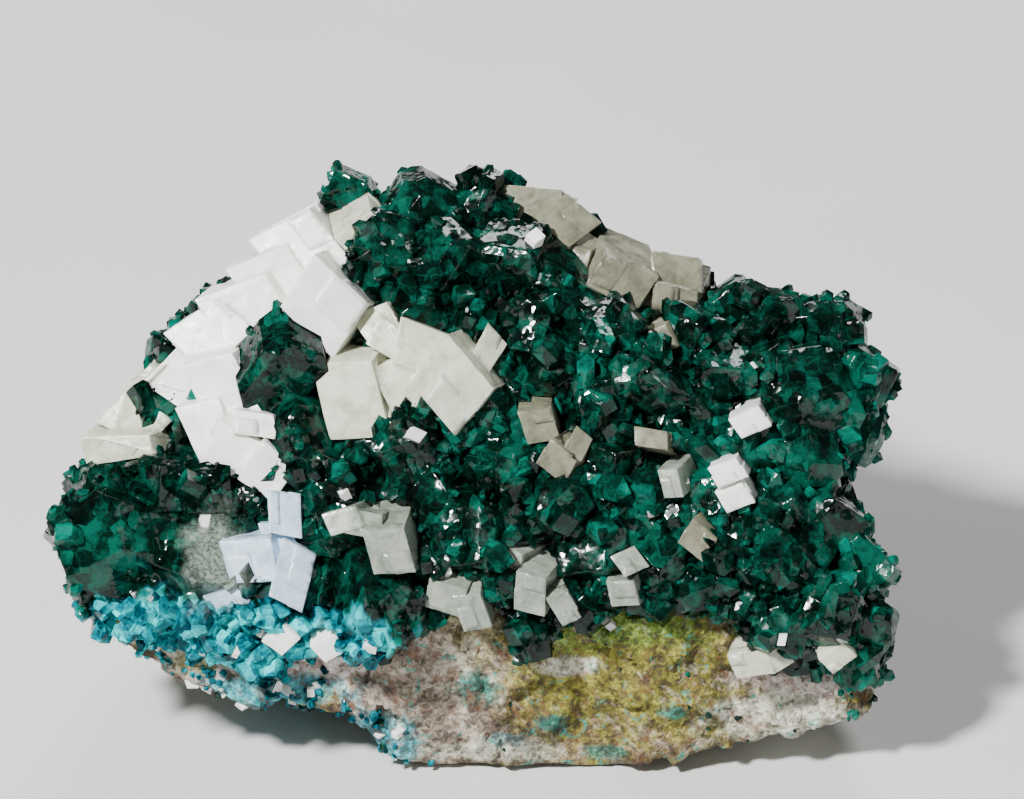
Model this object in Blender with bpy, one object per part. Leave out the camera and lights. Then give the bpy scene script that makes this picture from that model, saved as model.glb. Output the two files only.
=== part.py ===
"""A hand specimen of dioptase: dark green crystals and white calcite rhombs on a slab of brown matrix.

The model is in metres with +Z up, and stands on the flat underside of the matrix.
The crystals cover a face that leans back, so places on it are given in face coordinates, in
millimetres: u to the right, v up the face and d out of it, towards someone who looks at it squarely.
"""

import math
from itertools import combinations

import bmesh
import bpy
import numpy as np
from mathutils import Matrix, Vector, geometry, noise

MM = 0.001
LEAN = math.radians(30)  # how far the crystal face leans back from upright
FOOT_CENTRE = Vector((-0.3, 19.4, 0.0))  # below the middle of the specimen, from the point below u = v = 0
FLOOR_LIFT = 0.6  # raises the rock until only its underside is cut by the floor

# The rock's relief
WALL_TOP = 14.0  # v where the bare broken wall ends and the crystal face begins
WALL_SLOPE = math.tan(LEAN)  # the wall is upright, so it comes forward in face coordinates
FACE_SLOPE = 0.20  # the crystal face leans back a little more than the view plane
RIM_DROP = 6.0  # how far the rim falls away behind the middle of the face
RIM_WIDTH = 5.0
RIM_FROM, RIM_TO = 4.0, 16.0  # v between which the rim starts to fall away
BACK_DEPTH = 33.0  # thickness of the rock behind its rim
BACK_ROUND = 7.5
ROCK_LUMPS = 1.1
BACK_LUMPS = 2.6
LUMP_SIZE = 9.0
ROCK_SPACING = 4.9  # distance between the rock's facet corners
WALL_SPACING = 2.7

# Clearances between pieces that grew on each other
GAP = 0.35
CRUST_THICKNESS = 2.3
CALCITE_SEAT = 1.3  # the crust runs on below the calcite, up to this height over the rock
CRUST_SPACING = 4.2
DEEP = 80.0  # how far back a cutter reaches

# Crystal shapes
DIOPTASE_CAP_TILT = math.radians(51.0)  # from the c axis to the normal of a rhombohedron face
DIOPTASE_BEVEL_TILT = math.radians(31.7)  # the flatter rhombohedron that blunts the cap's three edges
BEVELLED_FROM = 3.0  # only crystals at least this large are blunted
DIOPTASE_SUNK = 0.45  # share of the radius by which a crystal's centre lies under the crust's surface
CALCITE_EDGE_ANGLE = math.radians(101.9)  # between the edges at the blunt corner of the cleavage rhomb
FILL_TRIES = 430
FILL_RADII = (1.25, 2.4)
SEED = 11

# The rock's outline seen squarely, anticlockwise from the left tip, in face coordinates
ROCK_OUTLINE = (
    (-37.0, 23.5), (-35.5, 19.5), (-34.0, 15.5), (-32.8, 11.9), (-30.4, 10.1), (-26.7, 8.2),
    (-22.9, 6.8), (-19.7, 5.8), (-18.0, 6.7), (-13.6, 5.4), (-11.7, 5.6), (-10.2, 4.0),
    (-8.4, 2.2), (-6.3, 0.7), (-4.4, 0.3), (0.5, 0.3), (4.2, 0.2), (8.0, 0.3), (11.7, 0.0),
    (15.4, 0.6), (20.1, 1.5), (22.9, 2.2), (24.4, 2.8), (26.7, 2.8), (30.4, 3.6), (34.0, 5.0),
    (36.9, 5.4), (37.6, 9.0), (36.8, 13.5), (37.0, 18.5), (35.2, 22.2), (33.4, 26.3),
    (35.6, 30.5), (36.8, 35.5), (35.0, 38.8), (31.0, 41.0), (24.0, 43.2), (18.0, 45.3),
    (12.0, 47.3), (7.5, 51.3), (1.5, 52.8), (-5.0, 52.8), (-11.0, 52.3), (-16.5, 49.5),
    (-19.5, 46.0), (-24.5, 43.5), (-28.0, 40.5), (-30.0, 35.5), (-32.5, 31.5), (-35.0, 28.0),
)
# The edge of the dioptase crust, which laps over the rock's rim and ends above the bare wall
CRUST_OUTLINE = (
    (-38.4, 23.5), (-36.8, 19.0), (-35.2, 15.6), (-32.3, 14.2), (-30.2, 12.0), (-25.7, 10.4),
    (-20.6, 9.7), (-16.4, 10.9), (-11.7, 11.5), (-7.2, 12.7), (-4.2, 15.4), (-3.0, 17.6),
    (1.0, 17.6), (2.5, 15.2), (4.4, 12.2), (6.9, 11.0), (8.2, 13.4), (11.7, 15.2), (16.4, 14.2),
    (21.1, 14.6), (24.3, 13.4), (26.2, 10.6), (29.5, 8.6), (33.2, 9.0), (38.2, 8.0),
    (38.6, 12.5), (38.2, 18.8), (36.6, 22.6), (34.8, 26.1), (36.9, 30.3), (38.2, 35.7),
    (36.0, 40.1), (31.5, 42.3), (24.4, 44.5), (18.4, 46.6), (12.7, 48.5), (8.0, 52.6),
    (1.7, 54.1), (-5.1, 54.1), (-11.4, 53.6), (-17.5, 50.5), (-20.3, 47.1), (-25.3, 44.6),
    (-29.2, 41.1), (-31.3, 36.0), (-33.7, 32.2), (-36.3, 28.3),
)

# Large dioptase crystals: u, v, radius across the prism, the way the tip leans (degrees
# anticlockwise from the right, and degrees away from straight out of the face), and how far the
# prism is drawn out, in millimetres
DIOPTASE_CRYSTALS = (
    # left lobe: a long prism that lies along the face, with shorter ones round it
    (-30.6, 20.4, 4.7, 164, 66, 4.0), (-26.2, 19.2, 4.3, 340, 52, 1.5), (-33.4, 25.2, 3.3, 150, 42, 0.8),
    (-28.6, 25.6, 3.6, 100, 32, 0.6), (-36.2, 22.4, 2.7, 180, 52, 0.5), (-34.2, 17.6, 3.0, 220, 48, 0.6),
    (-29.6, 16.0, 3.1, 250, 40, 0.4), (-25.4, 25.4, 3.2, 60, 32, 0.8), (-23.0, 27.6, 2.5, 80, 30, 0.4),
    (-21.6, 24.8, 2.3, 350, 30, 0.5), (-23.4, 23.0, 2.2, 300, 30, 0.3), (-36.0, 26.2, 2.0, 150, 50, 0.3),
    # below the white mass, and its lower neighbours
    (-12.4, 22.6, 3.2, 160, 30, 0.5), (-13.4, 27.4, 3.2, 240, 20, 0.8), (-16.2, 21.4, 2.2, 200, 30, 0.3),
    (-20.6, 15.9, 2.8, 260, 25, 0.3), (-24.6, 15.4, 2.4, 230, 35, 0.3), (-15.4, 13.4, 1.9, 260, 45, 0.2),
    # the big prism that hangs over the bare wall
    (-9.5, 18.4, 4.6, 284, 52, 3.2), (-5.2, 18.8, 2.6, 310, 45, 0.4), (-13.4, 18.2, 2.6, 250, 40, 0.6),
    # middle
    (-7.2, 29.6, 4.1, 60, 24, 0.8), (-4.6, 25.4, 3.5, 350, 30, 0.5), (-10.8, 31.4, 2.6, 120, 40, 0.4),
    (-2.6, 31.0, 3.0, 100, 35, 0.6), (0.6, 31.0, 2.7, 40, 30, 0.6), (3.2, 32.8, 2.7, 20, 35, 0.3),
    (-0.8, 22.4, 4.3, 305, 30, 1.0), (2.6, 19.4, 3.2, 270, 40, 0.8), (3.4, 26.8, 3.5, 80, 25, 0.6),
    (7.6, 25.2, 3.9, 330, 28, 0.8), (5.4, 12.8, 1.9, 270, 50, 0.2), (4.8, 23.0, 2.7, 250, 30, 0.5),
    (11.8, 27.2, 3.8, 60, 25, 0.7), (10.9, 21.4, 4.0, 300, 28, 0.9), (15.6, 25.2, 3.3, 20, 26, 0.5),
    (12.0, 33.6, 3.5, 100, 20, 1.6), (15.8, 35.2, 3.6, 70, 20, 1.8), (19.4, 33.4, 3.1, 10, 30, 0.5),
    (16.8, 19.8, 3.0, 280, 30, 0.5), (10.6, 15.8, 2.2, 270, 45, 0.3), (20.6, 25.4, 2.8, 330, 30, 0.4),
    (17.2, 16.2, 2.1, 270, 45, 0.3), (21.2, 18.2, 2.8, 290, 35, 0.5),
    # the dark crest
    (-11.4, 53.0, 2.7, 120, 50, 0.2), (-4.9, 51.2, 4.1, 100, 40, 0.4), (-7.4, 47.2, 4.3, 165, 24, 0.8),
    (-2.4, 46.4, 4.2, 50, 26, 0.8), (0.6, 51.4, 3.7, 75, 46, 0.4), (2.6, 47.0, 4.2, 15, 24, 0.6),
    (6.4, 46.2, 3.5, 335, 34, 0.6), (-0.6, 41.8, 3.7, 250, 28, 0.8), (4.2, 41.6, 3.9, 285, 26, 0.9),
    (8.2, 43.2, 3.3, 320, 32, 0.6), (-4.6, 42.8, 3.0, 210, 32, 0.5), (8.2, 37.6, 3.8, 250, 20, 1.2),
    (3.6, 37.0, 3.0, 300, 34, 0.6), (9.4, 49.4, 2.2, 60, 50, 0.2),
    # right shoulder
    (13.5, 39.8, 4.2, 170, 18, 1.4), (19.4, 39.4, 3.5, 40, 26, 0.8), (15.2, 44.4, 2.4, 90, 46, 0.2),
    (24.6, 42.2, 3.0, 80, 46, 0.3), (28.0, 40.8, 3.3, 70, 44, 0.3), (23.6, 36.8, 3.5, 160, 24, 0.9),
    (32.6, 39.4, 3.8, 55, 44, 0.4), (35.2, 36.2, 3.4, 15, 50, 0.4), (31.6, 35.0, 4.9, 215, 16, 1.5),
    (27.4, 36.0, 3.8, 100, 28, 0.8), (34.6, 31.6, 3.1, 345, 46, 0.4), (30.4, 30.4, 4.1, 280, 24, 1.0),
    (26.4, 29.6, 2.7, 190, 30, 0.3),
    # right foot
    (24.8, 21.2, 3.9, 250, 22, 1.0), (28.8, 24.0, 3.0, 60, 35, 0.4), (28.6, 19.4, 4.3, 200, 24, 1.0),
    (32.6, 22.2, 4.1, 75, 32, 0.4), (35.6, 18.4, 3.3, 10, 48, 0.3), (32.2, 15.2, 4.0, 300, 28, 0.8),
    (35.6, 13.2, 3.1, 340, 48, 0.3), (28.4, 14.2, 3.2, 240, 34, 0.5), (24.6, 16.4, 2.8, 260, 38, 0.4),
    (35.4, 9.8, 2.1, 320, 50, 0.2),
)
# Dioptase that stands through the white mass, in the same terms
DIOPTASE_THROUGH_CALCITE = (
    (-17.8, 37.0, 4.7, 120, 14, 1.8), (-16.2, 31.6, 4.5, 285, 26, 1.2),
    (-28.4, 33.6, 2.3, 150, 26, 0.6), (-26.2, 31.8, 2.0, 80, 26, 0.5),
)

# Calcite rhombs of each cluster: u, v, half edges across and up the face, turn in the face,
# the way that the front face leans, how far it leans, and how far it stands over the rock
CALCITE_CLUSTERS = {
    "calcite_upper_left_mass": (
        (-15.8, 49.0, 3.0, 3.0, 27, 130, 12, 6.2), (-18.6, 45.8, 2.9, 2.8, 22, 80, 10, 6.4),
        (-13.3, 43.5, 3.2, 2.7, -44, 350, 8, 7.8), (-20.6, 43.0, 3.3, 3.0, 20, 120, 8, 6.8),
        (-23.8, 40.8, 3.0, 2.8, 32, 130, 12, 6.2), (-26.2, 37.2, 2.6, 2.6, 44, 150, 14, 5.6),
        (-22.8, 36.4, 2.3, 3.0, 14, 200, 8, 6.2), (-23.8, 32.6, 1.9, 2.5, 14, 180, 10, 5.8),
        (-20.8, 30.2, 2.7, 1.8, -32, 260, 12, 6.0), (-18.7, 28.5, 1.9, 1.6, -46, 300, 14, 5.4),
        (-19.9, 32.4, 1.7, 0.9, -8, 80, 10, 6.4),
    ),
    "calcite_left_lobe": (
        (-32.0, 30.4, 3.1, 1.5, 2, 200, 16, 5.4), (-31.9, 28.9, 2.3, 1.7, -8, 250, 14, 5.2),
        (-31.5, 33.0, 1.9, 2.4, 44, 150, 14, 5.4), (-29.6, 35.8, 1.7, 2.0, 46, 150, 12, 5.4),
    ),
    "calcite_peak_rhomb": ((-10.4, 50.8, 1.9, 1.8, 33, 330, 10, 6.8),),
    "calcite_middle_cluster": (
        (-10.4, 35.5, 2.6, 3.4, 3, 200, 8, 6.8), (-6.4, 36.4, 2.1, 2.4, 22, 90, 8, 6.2),
        (-1.1, 36.3, 3.0, 2.6, -50, 300, 8, 7.8), (-3.9, 38.9, 2.7, 2.0, -22, 60, 12, 6.8),
        (-6.8, 39.5, 1.7, 1.3, -36, 100, 14, 6.2), (-8.4, 41.7, 1.5, 1.3, 22, 120, 20, 5.6),
        (-8.4, 33.0, 1.7, 1.1, 26, 260, 18, 5.6), (0.8, 38.6, 1.1, 1.8, -46, 20, 26, 6.0),
    ),
    "calcite_crest_cluster": (
        (6.2, 52.2, 2.6, 1.7, -6, 90, 24, 5.4), (8.2, 51.4, 1.8, 1.9, 38, 60, 20, 5.6),
        (9.4, 49.7, 1.9, 0.9, -36, 20, 22, 5.0), (7.4, 49.9, 1.6, 0.8, -34, 250, 14, 5.2),
    ),
    "calcite_shoulder_blocks": (
        (13.1, 46.6, 2.1, 2.4, 56, 280, 8, 6.8), (11.0, 47.6, 1.1, 1.5, -18, 180, 16, 5.4),
        (16.4, 45.8, 1.5, 1.2, -4, 300, 12, 5.8), (19.1, 46.3, 2.1, 1.5, -7, 60, 18, 5.8),
        (19.4, 44.6, 1.9, 1.5, -14, 280, 12, 6.0),
    ),
    "calcite_shoulder_chip": ((18.4, 41.2, 0.8, 1.0, 20, 200, 14, 5.4),),
    "calcite_saddle_rhomb": ((6.1, 33.3, 1.3, 1.35, 8, 320, 10, 6.2),),
    "calcite_twin_rhomb": (
        (9.0, 29.4, 1.35, 1.05, -40, 240, 12, 6.2), (9.8, 30.1, 0.75, 1.0, -40, 30, 18, 5.4),
    ),
    "calcite_mirror_rhomb": ((25.8, 33.1, 1.25, 0.85, 24, 90, 6, 6.6),),
    "calcite_stepped_stack": (
        (23.9, 28.4, 1.15, 0.8, 20, 100, 6, 6.4), (24.5, 26.1, 1.1, 0.9, 20, 100, 6, 6.2),
        (24.2, 27.2, 1.0, 1.15, 20, 100, 6, 5.6),
    ),
    "calcite_peg": ((19.3, 27.7, 0.65, 1.1, 2, 200, 10, 6.0),),
    "calcite_grey_rhomb": ((21.7, 22.2, 1.25, 1.1, -40, 270, 12, 5.8),),
    "calcite_grey_wedge": ((17.1, 30.5, 1.3, 0.7, -10, 90, 20, 5.6),),
    "calcite_lower_left_cluster": (
        (-19.7, 20.6, 2.2, 1.8, 4, 200, 8, 6.4), (-16.8, 18.5, 1.5, 2.5, -26, 10, 16, 6.2),
        (-17.3, 23.8, 1.3, 1.8, -10, 60, 16, 5.6), (-22.4, 17.4, 1.5, 1.0, 24, 240, 16, 5.0),
        (-17.9, 21.6, 1.3, 1.5, 0, 60, 10, 5.2),
    ),
    "calcite_centre_rhomb": (
        (-7.4, 22.1, 1.7, 1.85, 4, 300, 8, 8.4), (-11.3, 23.7, 1.4, 0.9, 14, 120, 12, 7.0),
        (-9.3, 23.2, 1.6, 0.9, -8, 100, 10, 7.2),
    ),
    "calcite_blade": (
        (6.2, 17.7, 1.2, 1.6, -14, 250, 12, 6.0), (7.9, 16.4, 0.75, 1.2, 22, 330, 16, 5.6),
        (4.9, 19.7, 0.65, 1.25, -24, 200, 16, 5.4),
    ),
    "calcite_low_cubes": (
        (14.3, 17.9, 1.05, 1.0, 2, 270, 12, 5.6), (14.6, 19.6, 1.0, 0.95, 24, 90, 16, 5.6),
    ),
    "calcite_pale_patch": (
        (-1.8, 17.2, 1.6, 1.15, -18, 260, 18, 4.8), (-0.1, 16.1, 1.1, 1.4, 10, 290, 20, 4.6),
    ),
    "calcite_strip_rhomb": ((-17.8, 13.6, 1.0, 0.9, 42, 250, 16, 4.8),),
    "calcite_strip_wedge": ((-13.4, 13.0, 1.15, 0.85, 30, 280, 20, 4.6),),
    "calcite_right_foot": (
        (26.4, 11.2, 1.6, 0.95, 8, 250, 18, 4.6), (27.9, 11.6, 0.85, 0.85, 30, 300, 18, 4.2),
    ),
    "calcite_right_foot_chip": ((33.4, 12.1, 1.15, 0.75, 35, 300, 18, 5.4),),
}

MATERIALS = {  # base colour, roughness
    "rock": ((0.33, 0.24, 0.13, 1.0), 0.85),
    "dioptase": ((0.010, 0.110, 0.075, 1.0), 0.12),
    "calcite": ((0.78, 0.77, 0.70, 1.0), 0.38),
}

FACE_TO_WORLD = Matrix((
    (1.0, 0.0, 0.0),
    (0.0, math.sin(LEAN), -math.cos(LEAN)),
    (0.0, math.cos(LEAN), math.sin(LEAN)),
))


def to_world(point):
    """A face point in millimetres as a world point in metres."""
    moved = FACE_TO_WORLD @ Vector(point) - FOOT_CENTRE
    moved.z += FLOOR_LIFT
    return moved * MM


def clear_scene():
    for old in list(bpy.data.objects):
        bpy.data.objects.remove(old)


def material(name):
    """The Principled material of that name, made on first use."""
    found = bpy.data.materials.get(name)
    if found:
        return found
    colour, roughness = MATERIALS[name]
    made = bpy.data.materials.new(name)
    made.use_nodes = True
    shader = made.node_tree.nodes["Principled BSDF"]
    shader.inputs["Base Color"].default_value = colour
    shader.inputs["Roughness"].default_value = roughness
    shader.inputs["Metallic"].default_value = 0.0
    made.diffuse_color = colour
    return made


# Outlines and relief

def smoothstep(low, high, value):
    share = min(1.0, max(0.0, (value - low) / (high - low)))
    return share * share * (3 - 2 * share)


def edge_distance(outline, u, v):
    """Distance from a point to an outline, negative outside it."""
    corners = np.array(outline)
    ahead = np.roll(corners, -1, axis=0)
    run = ahead - corners
    away = np.array((u, v)) - corners
    along = np.clip((away * run).sum(1) / (run * run).sum(1), 0.0, 1.0)
    nearest = np.linalg.norm(away - run * along[:, None], axis=1).min()
    crossing = (corners[:, 1] > v) != (ahead[:, 1] > v)
    rise = np.where(crossing, ahead[:, 1] - corners[:, 1], 1.0)
    at = corners[:, 0] + (v - corners[:, 1]) / rise * (ahead[:, 0] - corners[:, 0])
    inside = (crossing & (u < at)).sum() % 2 == 1
    return nearest if inside else -nearest


def lumps(u, v, size, seed):
    return noise.fractal(Vector((u / size, v / size, seed)), 1.0, 2.0, 3)


def rock_front(u, v):
    """Depth of the rock's front: an upright wall below, then the leaning face, falling away at its rim."""
    if v < WALL_TOP:
        depth = v * WALL_SLOPE
    else:
        depth = WALL_TOP * WALL_SLOPE - (v - WALL_TOP) * FACE_SLOPE
    rim = math.exp(-max(0.0, edge_distance(ROCK_OUTLINE, u, v)) / RIM_WIDTH)
    depth -= RIM_DROP * rim * smoothstep(RIM_FROM, RIM_TO, v)
    return depth + ROCK_LUMPS * lumps(u, v, LUMP_SIZE, 0.5)


def rock_back(u, v):
    """Depth of the rock's back: a blunt rim, then a rough rounded bulk."""
    inward = max(0.0, edge_distance(ROCK_OUTLINE, u, v))
    bulk = 1.5 + BACK_DEPTH * (1 - math.exp(-inward / BACK_ROUND))
    roughness = BACK_LUMPS * lumps(u, v, LUMP_SIZE, 7.5) * min(1.0, inward / 3.0)
    return min(rock_front(u, v), WALL_TOP * WALL_SLOPE - RIM_DROP) - bulk + roughness


class Plan:
    """An outline filled with triangles, as seen squarely from the front."""

    def __init__(self, outline, spacing, seed, fine_below=None):
        rng = np.random.default_rng(seed)
        self.rim = [Vector(p) for p in outline]
        inner = []
        for step, low, high in self.bands(outline, spacing, fine_below):
            rows = np.arange(low, high, step * math.sqrt(0.75))
            for i, v in enumerate(rows):
                for u in np.arange(-42.0 + (i % 2) * step / 2, 42.0, step):
                    point = np.array((u, v)) + rng.uniform(-0.22, 0.22, 2) * step
                    if edge_distance(outline, *point) > 0.5 * step:
                        inner.append(Vector(point))
        count = len(self.rim)
        edges = [(i, (i + 1) % count) for i in range(count)]
        points, _, faces, *_ = geometry.delaunay_2d_cdt(self.rim + inner, edges, [], 1, 1e-5)
        self.points, self.faces = points, faces
        self.rim_size = count

    @staticmethod
    def bands(outline, spacing, fine_below):
        low, high = min(p[1] for p in outline), max(p[1] for p in outline)
        if fine_below is None:
            return [(spacing, low, high)]
        return [(WALL_SPACING, low, fine_below), (spacing, fine_below, high)]

    def spread(self, by):
        """The points, with the rim moved outwards by that much."""
        moved = [p.copy() for p in self.points]
        for i in range(self.rim_size):
            before = self.points[(i - 1) % self.rim_size]
            after = self.points[(i + 1) % self.rim_size]
            along = (after - before).normalized()
            moved[i] += Vector((along.y, -along.x)) * by
        return moved

    def solid(self, name, front, back, spread=0.0, hidden=False):
        """A closed solid between two depths, given as functions of u and v."""
        outer = self.spread(spread)
        bm = bmesh.new()
        fronts = [bm.verts.new(to_world((*o, front(*p)))) for o, p in zip(outer, self.points)]
        backs = [bm.verts.new(to_world((*o, back(*p)))) for o, p in zip(outer, self.points)]
        for a, b, c in self.faces:
            bm.faces.new((fronts[a], fronts[b], fronts[c]))
            bm.faces.new((backs[c], backs[b], backs[a]))
        for i in range(self.rim_size):
            j = (i + 1) % self.rim_size
            bm.faces.new((fronts[i], backs[i], backs[j], fronts[j]))
        bmesh.ops.recalc_face_normals(bm, faces=bm.faces)
        return object_of(name, bm, hidden)


# Objects and Booleans

def object_of(name, bm, hidden=False):
    mesh = bpy.data.meshes.new(name)
    bm.to_mesh(mesh)
    bm.free()
    made = bpy.data.objects.new(name, mesh)
    bpy.context.scene.collection.objects.link(made)
    if hidden:
        made.hide_render = True
        made.display_type = "WIRE"
    return made


def boolean(target, tool, operation):
    """Joins or cuts target with tool, both of which may be many overlapping bodies, and applies it."""
    modifier = target.modifiers.new(operation.title(), "BOOLEAN")
    modifier.operation = operation
    modifier.object = tool
    modifier.solver = "EXACT"
    modifier.use_self = True
    graph = bpy.context.evaluated_depsgraph_get()
    mesh = bpy.data.meshes.new_from_object(target.evaluated_get(graph))
    target.modifiers.clear()
    target.data = mesh


def keep_largest_body(target):
    """Drops the crumbs that a cut leaves, so that the piece is one body."""
    bm = bmesh.new()
    bm.from_mesh(target.data)
    bmesh.ops.remove_doubles(bm, verts=bm.verts, dist=0.002 * MM)
    waiting, bodies = set(bm.verts), []
    while waiting:
        body, front = set(), [waiting.pop()]
        while front:
            vert = front.pop()
            body.add(vert)
            for edge in vert.link_edges:
                other = edge.other_vert(vert)
                if other in waiting:
                    waiting.discard(other)
                    front.append(other)
        bodies.append(body)
    bodies.sort(key=len)
    for body in bodies[:-1]:
        bmesh.ops.delete(bm, geom=list(body), context="VERTS")
    bm.to_mesh(target.data)
    bm.free()


def finish(target, material_name, angle=20.0):
    """Gives the piece its material, flat facets with sharp edges, and an origin at its own middle."""
    target.data.materials.clear()
    target.data.materials.append(material(material_name))
    corners = [v.co for v in target.data.vertices]
    middle = sum(corners, Vector()) / len(corners)
    target.data.transform(Matrix.Translation(-middle))
    target.location = middle
    target.data.shade_smooth()
    target.data.set_sharp_from_angle(angle=math.radians(angle))


# Crystals

def add_polyhedron(bm, normals, offsets, turn, place):
    """The convex crystal that lies inside all the planes, turned and then moved to a face point."""
    trios = np.array(list(combinations(range(len(normals)), 3)))
    systems = normals[trios]
    regular = np.abs(np.linalg.det(systems)) > 1e-5
    corners = np.linalg.solve(systems[regular], offsets[trios[regular]][..., None])[..., 0]
    corners = corners[(corners @ normals.T <= offsets + 1e-6).all(1)]
    corners = np.unique(np.round(corners, 5), axis=0)
    verts = [bm.verts.new(to_world(turn @ Vector(c) + place)) for c in corners]
    for normal, offset in zip(normals, offsets):
        on = np.nonzero(np.abs(corners @ normal - offset) < 3e-4)[0]
        if len(on) < 3:
            continue
        side = np.cross(normal, (0.0, 0.0, 1.0) if abs(normal[2]) < 0.9 else (1.0, 0.0, 0.0))
        side /= np.linalg.norm(side)
        up = np.cross(normal, side)
        spoke = corners[on] - corners[on].mean(0)
        order = np.argsort(np.arctan2(spoke @ up, spoke @ side))
        bm.faces.new([verts[i] for i in on[order]])


def leaning(azimuth, tilt):
    """The turn that leans straight-out towards an azimuth in the face, both in degrees."""
    around = Matrix.Rotation(math.radians(azimuth), 3, "Z")
    return around @ Matrix.Rotation(math.radians(tilt), 3, "Y") @ around.inverted()


def dioptase_planes(radius, length, rng):
    """Six prism faces and the three-faced cap at each end, grown a little unevenly."""
    normals, offsets = [], []
    for i in range(6):
        azimuth = math.radians(30 + 60 * i)
        normals.append((math.cos(azimuth), math.sin(azimuth), 0.0))
        offsets.append(radius * rng.uniform(0.84, 1.08))
    for i in range(6):
        azimuth = math.radians(60 * i)
        upper = i % 2 == 0
        out, along = math.sin(DIOPTASE_CAP_TILT), math.cos(DIOPTASE_CAP_TILT)
        normals.append((out * math.cos(azimuth), out * math.sin(azimuth), along if upper else -along))
        reach = radius * rng.uniform(0.86, 1.16)
        offsets.append(reach + length * along)
    if radius >= BEVELLED_FROM:
        out, along = math.sin(DIOPTASE_BEVEL_TILT), math.cos(DIOPTASE_BEVEL_TILT)
        for i in range(1, 6, 2):
            azimuth = math.radians(60 * i)
            normals.append((out * math.cos(azimuth), out * math.sin(azimuth), along))
            offsets.append(radius * rng.uniform(1.12, 1.32) + length * along)
    return np.array(normals), np.array(offsets)


def add_dioptase(bm, row, rng, grow=0.0):
    """One dioptase crystal of a table row, made larger by grow on every side for a cutter."""
    u, v, radius, azimuth, tilt, length = row
    normals, offsets = dioptase_planes(radius, length, rng)
    turn = leaning(azimuth, tilt) @ Matrix.Rotation(rng.uniform(0, math.tau), 3, "Z")
    depth = rock_front(u, v) + CRUST_THICKNESS - DIOPTASE_SUNK * radius
    add_polyhedron(bm, normals, offsets + grow, turn, Vector((u, v, depth)))


def rhomb_planes(half_across, half_up, half_deep):
    """The six faces of a calcite rhomb whose front face is square to the view."""
    cosine, sine = math.cos(CALCITE_EDGE_ANGLE), math.sin(CALCITE_EDGE_ANGLE)
    third = (cosine, cosine * (1 - cosine) / sine)
    edges = np.array((
        (1.0, 0.0, 0.0),
        (cosine, sine, 0.0),
        (*third, math.sqrt(1 - third[0] ** 2 - third[1] ** 2)),
    ))
    normals, offsets = [], []
    for i, half in enumerate((half_across, half_up, half_deep)):
        normal = np.cross(edges[(i + 1) % 3], edges[(i + 2) % 3])
        normal /= np.linalg.norm(normal)
        reach = half * abs(normal @ edges[i])
        normals += [normal, -normal]
        offsets += [reach, reach]
    return np.array(normals), np.array(offsets)


def add_rhomb(bm, row, grow=0.0):
    """One calcite rhomb of a table row, made larger by grow on every side for a cutter."""
    u, v, half_across, half_up, turned, azimuth, tilt, stand = row
    half_deep = stand / 2
    normals, offsets = rhomb_planes(half_across, half_up, half_deep)
    turn = leaning(azimuth, tilt) @ Matrix.Rotation(math.radians(turned), 3, "Z")
    depth = rock_front(u, v) + stand - half_deep
    add_polyhedron(bm, normals, offsets + grow, turn, Vector((u, v, depth)))


def calcite_cluster(name, rows):
    """The rhombs of one cluster, grown together."""
    first, others = bmesh.new(), bmesh.new()
    add_rhomb(first, rows[0])
    for row in rows[1:]:
        add_rhomb(others, row)
    cluster = object_of(name, first)
    if rows[1:]:
        boolean(cluster, object_of(name + "_others", others, hidden=True), "UNION")
    return cluster


def filling_crystals(rng):
    """Smaller dioptase crystals between the large ones, kept off the calcite."""
    taken = [(row[0], row[1], row[2] * 0.72) for row in DIOPTASE_CRYSTALS + DIOPTASE_THROUGH_CALCITE]
    white = [(r[0], r[1], 0.85 * min(r[2], r[3])) for rows in CALCITE_CLUSTERS.values() for r in rows]
    rows = []
    for _ in range(FILL_TRIES):
        u, v = rng.uniform(-38, 38), rng.uniform(9, 54)
        radius = rng.uniform(*FILL_RADII)
        azimuth, tilt = rng.uniform(0, 360), rng.uniform(5, 45)
        if edge_distance(CRUST_OUTLINE, u, v) < 0.3:
            continue
        if all(math.hypot(u - x, v - y) > r + 0.62 * radius for x, y, r in taken + white):
            taken.append((u, v, radius * 0.8))
            rows.append((u, v, radius, azimuth, tilt, rng.uniform(0.0, 0.3) * radius))
    return rows


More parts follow.
